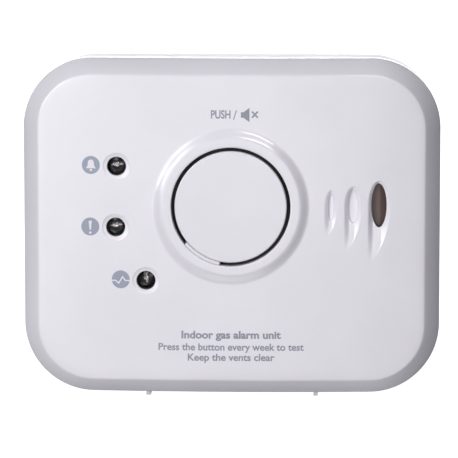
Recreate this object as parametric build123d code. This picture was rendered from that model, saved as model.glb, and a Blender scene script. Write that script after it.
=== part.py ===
from build123d import *

import math
import os

# A wall-mounted or free-standing carbon monoxide alarm. The front faces -Y, +X is to the
# viewer's right and +Z is up. The origin is the centre of the wall bracket's back face, on
# the case's centre line. Depths are distances out from the wall plane, along -Y, in mm.

# ---- driving dimensions -------------------------------------------------------------
WIDTH = 120.0  # case outline at its widest, at the front rim
HEIGHT = 96.7
CORNER_R = 20.0
DRAFT_DEG = 2.3  # the side walls narrow towards the wall
BOW_R = 470.0  # the face is bowed about a vertical axis
WALL = 2.0
RIM_INSET = 4.7  # sloping flank between the face and the side walls
RIM_DROP = 3.0
RIM_ROUND = 4.0  # rounding where the flank meets the side walls
CREASE_ROUND = 0.5

FACE_D = 33.8  # depths
COLLAR_D = 35.0
RIM_D = 25.8  # depth at which the case has its stated width and height
SEAM_D = 20.0
BACK_D = 2.4
SEAM_GAP = 0.2
BRACKET_T = 2.0

BUTTON_Z = 6.4
BUTTON_R = 16.05
BUTTON_HOLE_R = 17.1
COLLAR_TOP_R = 19.6
COLLAR_BASE_R = 22.2
SKIRT_R = 18.9  # guide tube behind the button hole
SKIRT_D = 28.5
HINGE_DEG = 239.2  # direction of the button's hinge from its centre
HINGE_R = 14.65
HINGE_D = 30.6
HINGE_PIN_R = 0.7
BRIDGE_HALF_DEG = 19.65  # the hinge frame closes this much of the ring gap each way
LUG_HALF_DEG = 24.0  # the hinge frame's lugs lie within this much of the hinge each way
DUST_RING_D = (31.4, 32.0)  # thin black ring behind the gap round the button
STEM_R = 19.5  # distance of the switch from the button's centre, opposite the hinge

LED_PLACES = {"led_alarm": (-32.8, 17.75), "led_fault": (-33.1, 0.15), "led_power": (-24.4, -15.2)}
LED_HOLE_R = 2.75
LED_DIMPLE_R = 3.95
LED_DIMPLE = 0.6
LED_R = 2.5
LED_TOP_D = 31.4
LED_BASE_D = 22.9

# vents: centre, then width and height of the oval at the bottom of its scoop
VENTS = [((28.7, 6.2), (1.8, 8.4)), ((35.0, 6.3), (3.06, 10.2)), ((42.4, 6.6), (4.4, 12.7))]
SCOOP_DEPTH = [1.2, 1.5, 1.9]
SCOOP_FLANK = 1.1  # width of a scoop's steep left flank
VENT_PAD_X = (25.5, 48.5)  # thicker wall behind the vents
VENT_PAD_Z = (-4.5, 16.5)
VENT_PAD_D = 27.9
LAMP_RING_R = 4.4  # thicker wall round each lamp's hole

SCREWS = [(46.0 * sx, 34.5 * sz) for sx in (-1, 1) for sz in (-1, 1)]
BOSS_TOP_D = 18.0
BOSS_R = 4.6
SCREW_HEAD_D = 8.0
SCREW_HEAD_R = 2.8
HEAD_RECESS_R = 3.1
SHANK_R = 1.45
SHANK_HOLE_R = 1.7
COVER_POST_R = 3.4
COVER_POST_BORE_R = 1.5
COVER_POST_BORE = 9.0  # depth of the bore for each screw

BAY_X = 28.7  # battery bay, half its length
BAY_Z = (-41.7, -8.5)
BAY_FLOOR_D = 19.0
BAY_WALL = 1.2
DOOR_GAP = 0.3
DOOR_T = 1.6
DOOR_HINGE_Z = -40.2
DOOR_HINGE_D = 3.6
DOOR_BARREL_R = 1.2
DOOR_PIN_R = 0.8
DOOR_PIN_GAP = 0.06
DOOR_PIN_REACH = 1.4
DOOR_RIB_X = 12.0
FINGER_SLOT_X = 6.0
GRIP_X = 9.0
GRIP_PITCH = 1.6
CELL_R = 7.25
CELL_LEN = 50.5
CELL_NUB = 1.0
CELL_D = 11.7
CELL_Z = {"battery_cell_upper": -17.4, "battery_cell_lower": -32.5}
CONTACT_T = 0.4

PCB_D = (20.6, 22.2)
PCB_POST_R = 2.2
PCB_PEG_R = 0.9
PCB_POSTS = [(-43.5, 25.0), (-43.5, -18.0), (24.0, 30.5), (34.5, -19.0)]
SENSOR_X = 42.4
SENSOR_R = 6.5
SENSOR_D = 20.7
SENSOR_Z = (-5.0, 17.0)

SOUNDER_R = 15.2
SOUNDER_TOP_D = 27.6
SOUNDER_SEAT_R = 14.0
SOUNDER_SEAT_D = 25.0
SOUNDER_CAVITY_R = 12.0
SOUND_HOLE_R = 3.0
PIEZO_D = (24.0, 24.25)
PIEZO_R = 13.5
PIEZO_CERAMIC_R = 9.8
PIEZO_CERAMIC_T = 0.22

SWITCH_HALF = 3.0
SWITCH_TOP_D = 26.0
SWITCH_PLATE_T = 0.3
PLUNGER_R = 1.7
PLUNGER_D = (24.0, 27.3)

BRACKET_Z = (-1.6, 38.0)
BRACKET_HALF_X = 40.0
BRACKET_HOLE_R = 2.2
BRACKET_HOLE_X = 25.0
BRACKET_HOLE_Z = 22.0
HOOK_X = 34.0
HOOK_Z = 26.5
HOOK_W = 4.0
HOOK_TRAVEL = 6.0
HOOK_T = 3.0  # the hook's root
HOOK_LIP = 4.5  # how far its lip reaches up behind the case's back
HOOK_LIP_D = (4.8, 6.4)
POCKET_X = 5.4  # pockets for the wall screws' heads, half their width
POCKET_DEPTH = 5.8
POCKET_WALL = 1.2

FOOT_X = 24.3
FOOT_W = 1.25
FOOT_Z = -50.5
FOOT_D = (3.0, 23.0)
FOOT_ROOT_Z = -46.4  # inside the case's lower wall
TOE_TOP_Z = -48.6  # just below the front cover


# ---- helpers ------------------------------------------------------------------------
def wall_plane(depth):
    """A plane parallel to the wall, at a depth, that looks out at the viewer."""
    return Plane.XZ.offset(depth)


def slab(sketch, d0, d1):
    """Extrude a sketch drawn in X and Z from one depth to another."""
    return extrude(wall_plane(d0) * sketch, d1 - d0)


def block(x, z, d):
    """A box given by its (low, high) in X, Z and depth."""
    return slab(Pos((x[0] + x[1]) / 2, (z[0] + z[1]) / 2) * Rectangle(x[1] - x[0], z[1] - z[0]), *d)


def rod(x, z, radius, d0, d1):
    """A cylinder square to the wall."""
    return slab(Pos(x, z) * Circle(radius), d0, d1)


def tube(x, z, inner, outer, d0, d1):
    """A ring square to the wall."""
    return slab(Pos(x, z) * (Circle(outer) - Circle(inner)), d0, d1)


def rod_along_x(x0, x1, z, depth, radius):
    """A cylinder along X."""
    return Plane.YZ.offset(x0) * Pos(-depth, z) * extrude(Circle(radius), x1 - x0)


def rod_along_z(x, z0, z1, depth, radius):
    """An upright cylinder."""
    return Pos(x, -depth, z0) * extrude(Circle(radius), z1 - z0)


def turned(radial, tangent, d, angle=HINGE_DEG):
    """A box in the button's frame: along an angle from its centre, across it, and in depth."""
    place = Pos(0, BUTTON_Z) * Rot(0, 0, angle)
    middle = Pos(sum(radial) / 2, sum(tangent) / 2)
    return slab(place * middle * Rectangle(radial[1] - radial[0], tangent[1] - tangent[0]), *d)


def around_button(radius, angle):
    """The X and Z of a point at a radius and an angle from the button's centre."""
    turn = math.radians(angle)
    return radius * math.cos(turn), BUTTON_Z + radius * math.sin(turn)


def ring_sector(inner, outer, half_deg, d0, d1, angle=HINGE_DEG):
    """Part of a ring about the button's centre."""
    reach = 2 * outer
    left, right = (
        (reach * math.cos(math.radians(a)), reach * math.sin(math.radians(a)))
        for a in (angle - half_deg, angle + half_deg)
    )
    wedge = make_face(Polyline((0, 0), left, right, close=True))
    return slab(Pos(0, BUTTON_Z) * ((Circle(outer) - Circle(inner)) & wedge), d0, d1)


def face_depth(x):
    """Depth of the bowed face at a distance from the centre line."""
    return FACE_D - BOW_R + math.sqrt(BOW_R**2 - x**2)


# ---- the case's outer form ------------------------------------------------------------
def flank_edges(body, face):
    """The edges where the flank meets the side walls."""
    crease = [edge.center() for edge in face.edges()]
    front = [e for e in body.edges() if e.bounding_box().max.Y < -FACE_D / 2 and e.length > 2 * RIM_INSET]
    return [e for e in front if all((e.center() - c).length > 0.01 for c in crease)]


def case_form(inset, rim=True):
    """The whole case as one solid, shrunk by an inset, with its bowed face and rounded rim."""
    top_d = FACE_D + 2
    grow = (top_d - RIM_D) * math.tan(math.radians(DRAFT_DEG)) - inset
    outline = RectangleRounded(WIDTH + 2 * grow, HEIGHT + 2 * grow, CORNER_R + grow)
    start = Plane(origin=(0, -top_d, 0), x_dir=(1, 0, 0), z_dir=(0, 1, 0))
    body = extrude(start * outline, top_d, taper=DRAFT_DEG)
    bow = Pos(0, BOW_R - FACE_D, 0) * Cylinder(BOW_R - inset, 2 * HEIGHT)
    body = body & bow
    if rim:
        face = body.faces().sort_by(Axis.Y)[0]
        body = chamfer(face.edges(), RIM_INSET, RIM_DROP, reference=face)
        face = body.faces().sort_by(Axis.Y)[0]
        body = fillet(flank_edges(body, face), RIM_ROUND - inset)
    if rim and not inset:
        face = body.faces().sort_by(Axis.Y)[0]
        body = fillet(face.edges(), CREASE_ROUND)
    return body


def between(shape, d0, d1):
    """The part of a shape between two depths."""
    return shape & block((-WIDTH, WIDTH), (-HEIGHT, HEIGHT), (d0, d1))


# ---- front cover ------------------------------------------------------------------------
def scoop(vent, depth):
    """The cutter of one vent's recess: a steep oval pocket and a tail that runs out below it."""
    (x, z), (w, h) = vent
    top = face_depth(x)
    pocket_top = Pos(x - SCOOP_FLANK / 4, z) * Ellipse(w / 2 + SCOOP_FLANK / 2, h / 2 + 0.5)
    pocket_floor = Pos(x, z) * Ellipse(w / 2, h / 2)
    pocket = loft([wall_plane(top - depth) * pocket_floor, wall_plane(top + 0.4) * pocket_top])
    left = x - w / 2 - 3 * SCOOP_FLANK / 4
    right = x + w / 2 + SCOOP_FLANK / 4
    tail_z = z - h / 2 - 0.55 * h
    edge = Line((left, z + h / 4), (left, tail_z))
    curve = Spline((left, tail_z), (x, z - 0.72 * h), (right, z), tangents=((1, 1), (0, 1)))
    close = Line((right, z), (left, z + h / 4))
    sail = make_face(edge + curve + close)
    slope = math.atan2(0.7 * depth, z - tail_z)
    outward = (0, -math.cos(slope), -math.sin(slope))
    floor = Plane(origin=(left, -top, tail_z), x_dir=(1, 0, 0), z_dir=outward)
    above = extrude(floor * Rectangle(8 * w + 20, 8 * h), 2 * depth)
    return pocket + (slab(sail, top - 2 * depth, top + 0.4) & above)


def front_cover():
    """Moulded front shell, with the button collar, light holes, vents and screw posts."""
    outer = between(case_form(0), SEAM_D + SEAM_GAP, FACE_D + 1)
    height = COLLAR_D - FACE_D + 0.5
    collar = loft(
        [
            wall_plane(COLLAR_D - height) * Pos(0, BUTTON_Z) * Circle(COLLAR_BASE_R),
            wall_plane(COLLAR_D) * Pos(0, BUTTON_Z) * Circle(COLLAR_TOP_R),
        ]
    )
    shell = outer + collar - between(case_form(WALL), SEAM_D, FACE_D)
    shell += tube(0, BUTTON_Z, BUTTON_HOLE_R, SKIRT_R, SKIRT_D, FACE_D - 1)
    pad = block(VENT_PAD_X, VENT_PAD_Z, (VENT_PAD_D, FACE_D))
    shell += pad & case_form(WALL / 2)
    for x, z in SCREWS:
        shell += rod(x, z, COVER_POST_R, BOSS_TOP_D, face_depth(x) - 1)
    for x, z in LED_PLACES.values():
        shell += rod(x, z, LAMP_RING_R, face_depth(x) - WALL - LED_DIMPLE, face_depth(x) - 1)

    shell -= rod(0, BUTTON_Z, BUTTON_HOLE_R, 0, COLLAR_D + 1)
    shell -= turned((SKIRT_R - 3, SKIRT_R + 0.2), (-3.3, 3.3), (SKIRT_D - 1, 31.7), HINGE_DEG - 180)
    for x, z in LED_PLACES.values():
        top = face_depth(x)
        shell -= rod(x, z, LED_HOLE_R, SEAM_D, COLLAR_D)
        dimple = [wall_plane(top - LED_DIMPLE) * Pos(x, z) * Circle(LED_HOLE_R)]
        dimple.append(wall_plane(top + 0.2) * Pos(x, z) * Circle(LED_DIMPLE_R + 0.3))
        shell -= loft(dimple)
    for vent, depth in zip(VENTS, SCOOP_DEPTH):
        shell -= scoop(vent, depth)
    (x, z), (w, h) = VENTS[2]
    shell -= slab(Pos(x, z) * Ellipse(w / 2, h / 2), SEAM_D, COLLAR_D)
    for x, z in SCREWS:
        shell -= rod(x, z, COVER_POST_BORE_R, BOSS_TOP_D - 1, BOSS_TOP_D + COVER_POST_BORE)
    return shell


# ---- rear case ----------------------------------------------------------------------------
def rear_case():
    """Back shell, with the battery bay, screw bosses, circuit board posts and foot rails."""
    shell = between(case_form(0, rim=False), BACK_D, SEAM_D)
    outer_back = shell.faces().sort_by(Axis.Y)[-1]
    shell = fillet(outer_back.edges(), 1.2)
    shell -= between(case_form(WALL, rim=False), BACK_D + WALL, SEAM_D + 1)
    lip = case_form(WALL + 0.15, rim=False) - case_form(WALL + 1.05, rim=False)
    shell += between(lip, SEAM_D - 2, SEAM_D + 1.6)
    lip_root = case_form(WALL - 0.5, rim=False) - case_form(WALL + 1.05, rim=False)
    shell += between(lip_root, SEAM_D - 2, SEAM_D - 1)

    bay_outer = block(
        (-BAY_X - BAY_WALL, BAY_X + BAY_WALL),
        (BAY_Z[0] - BAY_WALL, BAY_Z[1] + BAY_WALL),
        (BACK_D + 1, BAY_FLOOR_D + BAY_WALL),
    )
    shell += bay_outer
    shell -= block((-BAY_X, BAY_X), BAY_Z, (0, BAY_FLOOR_D))
    for sx in (-1, 1):
        shell -= rod_along_x(
            min(sx * (BAY_X - 0.5), sx * (BAY_X + 1.7)),
            max(sx * (BAY_X - 0.5), sx * (BAY_X + 1.7)),
            DOOR_HINGE_Z,
            DOOR_HINGE_D,
            DOOR_PIN_R + DOOR_PIN_GAP,
        )
    for z in CELL_Z.values():
        shell -= block((-BAY_X - 0.1, -BAY_X + CONTACT_T + 0.1), (z - 1.6, z + 1.6), (BAY_FLOOR_D - 1, 21))

    for x, z in SCREWS:
        shell += rod(x, z, BOSS_R, BACK_D + 1, BOSS_TOP_D)
        shell -= rod(x, z, HEAD_RECESS_R, 0, SCREW_HEAD_D)
        shell -= rod(x, z, SHANK_HOLE_R, 0, BOSS_TOP_D + 1)
    for x, z in PCB_POSTS:
        shell += rod(x, z, PCB_POST_R, BACK_D + 1, PCB_D[0])
        shell += rod(x, z, PCB_PEG_R, PCB_D[0], PCB_D[1] + 0.8)

    for sx in (-1, 1):
        pocket_z = (BRACKET_HOLE_Z - HOOK_TRAVEL - POCKET_X, BRACKET_HOLE_Z + POCKET_X)
        box_z = (pocket_z[0] - POCKET_WALL, pocket_z[1] + POCKET_WALL)
        x = sx * BRACKET_HOLE_X
        box_x = (x - POCKET_X - POCKET_WALL, x + POCKET_X + POCKET_WALL)
        shell += block(box_x, box_z, (BACK_D + 1, POCKET_DEPTH + POCKET_WALL))
        shell -= block((x - POCKET_X, x + POCKET_X), pocket_z, (0, POCKET_DEPTH))
        slot_x = (sx * HOOK_X - HOOK_W / 2 - 0.3, sx * HOOK_X + HOOK_W / 2 + 0.3)
        slot_z = (HOOK_Z - HOOK_TRAVEL - 2.0, HOOK_Z + HOOK_T / 2 + 0.3)
        shell -= block(slot_x, slot_z, (0, BACK_D + WALL + 0.2))
        foot_x = (sx * FOOT_X - FOOT_W / 2, sx * FOOT_X + FOOT_W / 2)
        rail = block(foot_x, (FOOT_Z, FOOT_ROOT_Z), (FOOT_D[0], SEAM_D - 0.2))
        toe = block(foot_x, (FOOT_Z, TOE_TOP_Z), (SEAM_D - 1, FOOT_D[1]))
        foot = rail + toe
        low = foot.edges().filter_by(Axis.X).group_by(Axis.Z)[0]
        shell += fillet(low, 0.8)
    return shell


def case_screws():
    """Four self-tapping screws, put in from the back."""
    screws = []
    for x, z in SCREWS:
        head = rod(x, z, SCREW_HEAD_R, SCREW_HEAD_D - 2.0, SCREW_HEAD_D)
        head = fillet(head.edges().sort_by(Axis.Y)[-1], 0.8)
        drive = block((x - 1.6, x + 1.6), (z - 0.35, z + 0.35), (0, SCREW_HEAD_D - 1.0))
        drive += block((x - 0.35, x + 0.35), (z - 1.6, z + 1.6), (0, SCREW_HEAD_D - 1.0))
        shank = rod(x, z, SHANK_R, SCREW_HEAD_D, BOSS_TOP_D + COVER_POST_BORE - 2)
        shank = chamfer(shank.edges().sort_by(Axis.Y)[0], 0.8)
        screws.append(head - drive + shank)
    return Compound(children=[s.solid() for s in screws])


# ---- battery door -----------------------------------------------------------------------
def battery_door():
    """Door over the battery bay, hinged along its lower edge."""
    half = BAY_X - DOOR_GAP
    top = BAY_Z[1] - DOOR_GAP
    door = block((-half, half), (DOOR_HINGE_Z, top), (BACK_D, BACK_D + DOOR_T))
    door += rod_along_x(-half, half, DOOR_HINGE_Z, DOOR_HINGE_D, DOOR_BARREL_R)
    for sx in (-1, 1):
        ends = sorted((sx * (half - 0.5), sx * (BAY_X + DOOR_PIN_REACH)))
        door += rod_along_x(ends[0], ends[1], DOOR_HINGE_Z, DOOR_HINGE_D, DOOR_PIN_R)
        rib_x = (sx * DOOR_RIB_X - 0.6, sx * DOOR_RIB_X + 0.6)
        rib_z = (DOOR_HINGE_Z + 2.2, top - 2.2)
        door += block(rib_x, rib_z, (BACK_D + DOOR_T - 0.2, BACK_D + DOOR_T + 0.3))
    door -= block((-FINGER_SLOT_X, FINGER_SLOT_X), (top - 4.0, top + 1), (0, BACK_D + 0.8))
    for i in range(5):
        z = top - 7.0 - GRIP_PITCH * i
        door -= block((-GRIP_X, GRIP_X), (z - 0.4, z + 0.4), (0, BACK_D + 0.4))
    return door


# ---- test button ------------------------------------------------------------------------
def test_button():
    """Round push button with its hinge ears and pins, and the arm and stem that work the switch."""
    disc = rod(0, BUTTON_Z, BUTTON_R, COLLAR_D - 2.0, COLLAR_D)
    disc = fillet(disc.edges().sort_by(Axis.Y)[0], 0.4)
    button = disc + tube(0, BUTTON_Z, 9.6, 10.8, COLLAR_D - 3.2, COLLAR_D - 2.0)
    for side in (-1, 1):
        ear = sorted((side * 2.4, side * 4.0))
        pin = sorted((side * 3.0, side * 6.2))
        button += turned((13.6, 15.4), ear, (HINGE_D - 1.1, COLLAR_D - 1.5))
        turn = math.radians(HINGE_DEG)
        x, z = around_button(HINGE_R, HINGE_DEG)
        axis = Vector(-math.sin(turn), 0, math.cos(turn))
        start = Vector(x, -HINGE_D, z) + axis * pin[0]
        circle = Plane(origin=start, z_dir=axis) * Circle(HINGE_PIN_R)
        button += extrude(circle, pin[1] - pin[0])
    far = HINGE_DEG - 180
    button += turned((8.0, 14.5), (-2.5, 2.5), (28.9, COLLAR_D - 1.5), far)
    button += turned((14.0, 21.4), (-2.5, 2.5), (28.9, 31.2), far)
    x, z = around_button(STEM_R, far)
    button += rod(x, z, PLUNGER_R - 0.1, PLUNGER_D[1] + 0.1, 29.5)
    return button


def button_hinge_frame():
    """Fixed strip that fills part of the ring gap and carries the button's hinge pins."""
    frame = ring_sector(BUTTON_R + 0.2, BUTTON_HOLE_R - 0.15, BRIDGE_HALF_DEG, 28.0, COLLAR_D - 0.05)
    frame += ring_sector(SOUNDER_R + 0.4, 20.0, 28, 27.0, SKIRT_D - 0.05)
    for side in (-1, 1):
        lug = turned((13.2, 15.6), sorted((side * 4.5, side * 6.5)), (27.8, HINGE_D + 1.4))
        frame += lug & rod(0, BUTTON_Z, BUTTON_R - 0.15, 0, COLLAR_D)
    turn = math.radians(HINGE_DEG)
    x, z = around_button(HINGE_R, HINGE_DEG)
    axis = Vector(-math.sin(turn), 0, math.cos(turn))
    start = Vector(x, -HINGE_D, z) - axis * 8
    bore = extrude(Plane(origin=start, z_dir=axis) * Circle(HINGE_PIN_R + 0.05), 16)
    return frame - bore


def button_dust_ring():
    """Thin black ring stuck in the cover's hole, which closes off the view down the gap."""
    inner = BUTTON_R - 0.6
    ring = tube(0, BUTTON_Z, inner, BUTTON_HOLE_R, *DUST_RING_D)
    room = (DUST_RING_D[0] - 1, DUST_RING_D[1] + 1)
    ring -= ring_sector(inner - 1, BUTTON_R - 0.1, LUG_HALF_DEG + 2, *room)
    return ring - ring_sector(inner - 1, BUTTON_HOLE_R + 1, BRIDGE_HALF_DEG + 1, *room)


# ---- sounder ------------------------------------------------------------------------------
def sounder_housing():
    """Black resonator cup over the piezo plate, with its sound hole."""
    cup = rod(0, BUTTON_Z, SOUNDER_R, PCB_D[1], SOUNDER_TOP_D)
    cup = chamfer(cup.edges().sort_by(Axis.Y)[0], 0.6)
    cup -= rod(0, BUTTON_Z, SOUNDER_SEAT_R, 0, SOUNDER_SEAT_D)
    cup -= rod(0, BUTTON_Z, SOUNDER_CAVITY_R, 0, SOUNDER_TOP_D - 1.2)
    cup -= rod(0, BUTTON_Z, SOUND_HOLE_R, 0, SOUNDER_TOP_D + 1)
    return cup


def sounder_gasket():
    """Soft ring that seats the piezo plate."""
    return tube(0, BUTTON_Z, SOUNDER_CAVITY_R + 0.2, SOUNDER_SEAT_R - 0.2, PIEZO_D[1], SOUNDER_SEAT_D)


def piezo_plate():
    """Brass plate of the sounder."""
    return rod(0, BUTTON_Z, PIEZO_R, *PIEZO_D)


def piezo_ceramic():
    """Ceramic disc bonded to the back of the plate."""
    return rod(0, BUTTON_Z, PIEZO_CERAMIC_R, PIEZO_D[0] - PIEZO_CERAMIC_T, PIEZO_D[0])


def piezo_contact_springs():
    """Two springs from the board, one to the plate and one to the ceramic."""
    springs = []
    for x, top in ((-11.6, PIEZO_D[0]), (4.0, PIEZO_D[0] - PIEZO_CERAMIC_T)):
        foot = wall_plane(PCB_D[1]) * Pos(x, BUTTON_Z) * Circle(1.5)
        tip = wall_plane(top) * Pos(x, BUTTON_Z) * Circle(0.8)
        springs.append(loft([foot, tip]))
    return Compound(children=[s.solid() for s in springs])


# ---- circuit board and what is on it ------------------------------------------------------------
def main_pcb():
    """Circuit board, notched round the screw bosses and the gas sensor."""
    board = block((-49, 49), (-24, 36), PCB_D)
    for x, z in SCREWS:
        board -= block((x - 6, x + 6), (z - 6, z + 6), (0, 40))
    board -= block((SENSOR_X - 7.6, 60), (SENSOR_Z[0] - 4.5, SENSOR_Z[1] + 4), (0, 40))
    for x, z in PCB_POSTS:
        board -= rod(x, z, 1.0, 0, 40)
    return board


def led_body(x, z):
    """One 5 mm lamp's epoxy body: flange, barrel and dome."""
    body = rod(x, z, LED_R + 0.4, LED_BASE_D, LED_BASE_D + 1.0)
    body += rod(x, z, LED_R, LED_BASE_D, LED_TOP_D - LED_R)
    body += Pos(x, -(LED_TOP_D - LED_R), z) * Sphere(LED_R)
    return body - Compound(children=[s.solid() for s in led_leads(x, z)])


def led_leads(x, z):
    """The two leads of one lamp: a wide anvil with the chip's cup, and a thin post."""
    anvil = block((x - 1.3, x - 0.2), (z - 0.25, z + 0.25), (LED_BASE_D + 1.5, LED_BASE_D + 5.0))
    anvil += block((x - 1.5, x - 1.0), (z - 0.25, z + 0.25), (PCB_D[1], LED_BASE_D + 1.6))
    post = block((x + 0.4, x + 1.2), (z - 0.25, z + 0.25), (LED_BASE_D + 3.0, LED_BASE_D + 5.0))
    post += block((x + 1.0, x + 1.5), (z - 0.25, z + 0.25), (PCB_D[1], LED_BASE_D + 3.1))
    return [anvil, post]


def led_leadframes():
    """The leads of all three lamps."""
    leads = [lead.solid() for place in LED_PLACES.values() for lead in led_leads(*place)]
    return Compound(children=leads)


def led_sleeves():
    """Black sleeves that keep each lamp's light to its own hole."""
    sleeves = []
    for x, z in LED_PLACES.values():
        sleeve = tube(x, z, LED_R + 0.15, 3.6, PCB_D[1], 30.0)
        sleeve -= rod(x, z, LED_R + 0.5, 0, LED_BASE_D + 1.2)
        sleeves.append(sleeve.solid())
    return Compound(children=sleeves)


def switch_place():
    """Where the switch stands, opposite the button's hinge."""
    return around_button(STEM_R, HINGE_DEG - 180)


def tact_switch_body():
    """Switch body on the board."""
    x, z = switch_place()
    half = SWITCH_HALF
    body = block((x - half, x + half), (z - half, z + half), (PCB_D[1], SWITCH_TOP_D - SWITCH_PLATE_T))
    return body - rod(x, z, PLUNGER_R + 0.15, PLUNGER_D[0] - 1, 30)


def tact_switch_cover():
    """Metal cover plate of the switch."""
    x, z = switch_place()
    half = SWITCH_HALF
    plate_d = (SWITCH_TOP_D - SWITCH_PLATE_T, SWITCH_TOP_D)
    cover = block((x - half, x + half), (z - half, z + half), plate_d)
    return cover - rod(x, z, PLUNGER_R + 0.3, 20, 30)


def tact_switch_plunger():
    """Plunger that the button's stem pushes."""
    x, z = switch_place()
    return rod(x, z, PLUNGER_R, *PLUNGER_D)


def microcontroller():
    """Processor, with its leads."""
    chip = block((-19, -12), (-21, -14), (PCB_D[1] + 0.1, PCB_D[1] + 1.3))
    parts = [chip.solid()]
    for i in range(8):
        z = -20.55 + 0.87 * i
        for x in ((-20.0, -19.0), (-12.0, -11.0)):
            parts.append(block(x, (z - 0.15, z + 0.15), (PCB_D[1], PCB_D[1] + 0.4)).solid())
    return Compound(children=parts)


def electrolytic_capacitors():
    """Two can capacitors on the front of the board."""
    cans = []
    for x, z in ((-8.0, 30.0), (24.0, -12.5)):
        can = rod(x, z, 3.2, PCB_D[1], PCB_D[1] + 7)
        cans.append(fillet(can.edges().sort_by(Axis.Y)[0], 0.5).solid())
    return Compound(children=cans)


def inductor():
    """Drum-core coil that raises the sounder's voltage."""
    x, z = -22.0, 29.0
    core = rod(x, z, 4.0, PCB_D[1], PCB_D[1] + 5.0)
    return core - tube(x, z, 2.8, 4.5, PCB_D[1] + 1.2, PCB_D[1] + 3.8)


def chips(places, size):
    """A group of small surface-mounted chips."""
    x_size, z_size, height = size
    parts = []
    for x, z in places:
        chip_x = (x - x_size / 2, x + x_size / 2)
        chip_z = (z - z_size / 2, z + z_size / 2)
        parts.append(block(chip_x, chip_z, (PCB_D[1], PCB_D[1] + height)).solid())
    return Compound(children=parts)


# ---- gas sensor -------------------------------------------------------------------------------
def co_sensor_body():
    """Brown upright sensor can behind the open vent."""
    can = rod_along_z(SENSOR_X, *SENSOR_Z, SENSOR_D, SENSOR_R)
    return fillet(can.edges().sort_by(Axis.Z)[0], 0.6)


def co_sensor_cap():
    """Metal cap on the sensor's upper end."""
    return rod_along_z(SENSOR_X, SENSOR_Z[1], SENSOR_Z[1] + 2.2, SENSOR_D, SENSOR_R - 0.4)


def co_sensor_pins():
    """Three pins that lie on the board."""
    depth = PCB_D[1] + 0.4
    pins = [rod_along_z(SENSOR_X + dx, -14, SENSOR_Z[0], depth, 0.4).solid() for dx in (-3, 0, 3)]
    return Compound(children=pins)


def sensor_gasket():
    """Foam frame between the sensor and the cover."""
    (x, z), (w, h) = VENTS[2]
    frame = Pos(x, z) * (Rectangle(w + 3.6, h + 3.6) - Ellipse(w / 2 + 0.2, h / 2 + 0.2))
    return slab(frame, SENSOR_D + SENSOR_R + 0.02, VENT_PAD_D)


# ---- batteries ----------------------------------------------------------------------------------
def cell(z, sign):
    """One AA cell along X, its positive end towards sign."""
    end = BAY_X - CONTACT_T
    can = rod_along_x(-end, -end + CELL_LEN - CELL_NUB, z, CELL_D, CELL_R)
    can = fillet(can.edges().filter_by(GeomType.CIRCLE), 0.5)
    can += rod_along_x(-end + CELL_LEN - CELL_NUB, -end + CELL_LEN, z, CELL_D, 2.75)
    if sign > 0:
        shift = 2 * end - CELL_LEN
        return Pos(shift, 0, 0) * can
    return mirror(can, Plane.YZ).moved(Location((-(2 * end - CELL_LEN), 0, 0)))


def spring_contact(z, sign):
    """Cone that stands for one coil spring, on the side of a cell's negative end."""
    end = BAY_X - CONTACT_T
    free = 2 * end - CELL_LEN
    wide = Plane.YZ.offset(0) * Circle(3.6)
    narrow = Plane.YZ.offset(free - 0.05) * Circle(2.0)
    cone = loft([wide, narrow])
    if sign > 0:
        cone = mirror(cone, Plane.YZ)
    return Pos(sign * end, -CELL_D, z) * cone


def battery_spring_contacts():
    """The two springs against the cells' negative ends."""
    upper = spring_contact(CELL_Z["battery_cell_upper"], 1)
    lower = spring_contact(CELL_Z["battery_cell_lower"], -1)
    return Compound(children=[upper.solid(), lower.solid()])


def battery_plate_contacts():
    """The two terminal plates, with the tags that go through the bay's floor to the board."""
    plates = []
    for z in CELL_Z.values():
        plate = block((-BAY_X, -BAY_X + CONTACT_T), (z - 5, z + 5), (6.0, 17.5))
        plate += block((-BAY_X, -BAY_X + CONTACT_T), (z - 1.5, z + 1.5), (17.0, PCB_D[0]))
        plates.append(plate.solid())
    return Compound(children=plates)


def contact_link():
    """Plate that joins the two cells in series."""
    low, high = CELL_Z["battery_cell_lower"], CELL_Z["battery_cell_upper"]
    return block((BAY_X - CONTACT_T, BAY_X), (low - 5, high + 5), (6.0, 17.5))


# ---- wall bracket and label -------------------------------------------------------------------------
def wall_bracket():
    """Plate screwed to the wall, with two upturned hooks that the alarm slides down onto."""
    middle = sum(BRACKET_Z) / 2
    outline = Pos(0, middle) * RectangleRounded(2 * BRACKET_HALF_X, BRACKET_Z[1] - BRACKET_Z[0], 6)
    plate = slab(outline, 0, BRACKET_T)
    front = plate.faces().sort_by(Axis.Y)[0]
    plate = fillet(front.edges(), 0.5)
    for sx in (-1, 1):
        plate -= rod(sx * BRACKET_HOLE_X, BRACKET_HOLE_Z, BRACKET_HOLE_R, -1, BRACKET_T + 1)
        hook_x = (sx * HOOK_X - HOOK_W / 2, sx * HOOK_X + HOOK_W / 2)
        root_z = (HOOK_Z - HOOK_T / 2, HOOK_Z + HOOK_T / 2)
        plate += block(hook_x, root_z, (BRACKET_T - 0.5, HOOK_LIP_D[1]))
        plate += block(hook_x, (root_z[0], root_z[1] + HOOK_LIP), HOOK_LIP_D)
    return plate


def rating_label():
    """Blank label on the back of the case."""
    outline = Pos(42.0, -18.0) * RectangleRounded(20, 17, 1)
    return slab(outline, BACK_D - 0.15, BACK_D)


RESISTORS = [(-38 + 3.2 * i, -6.5) for i in range(4)] + [(20 + 2.8 * i, 24.0) for i in range(4)]
CAPACITORS = [(-4 + 3.4 * i, -17.0) for i in range(5)] + [(-38 + 3.2 * i, 29.0) for i in range(2)]

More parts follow.
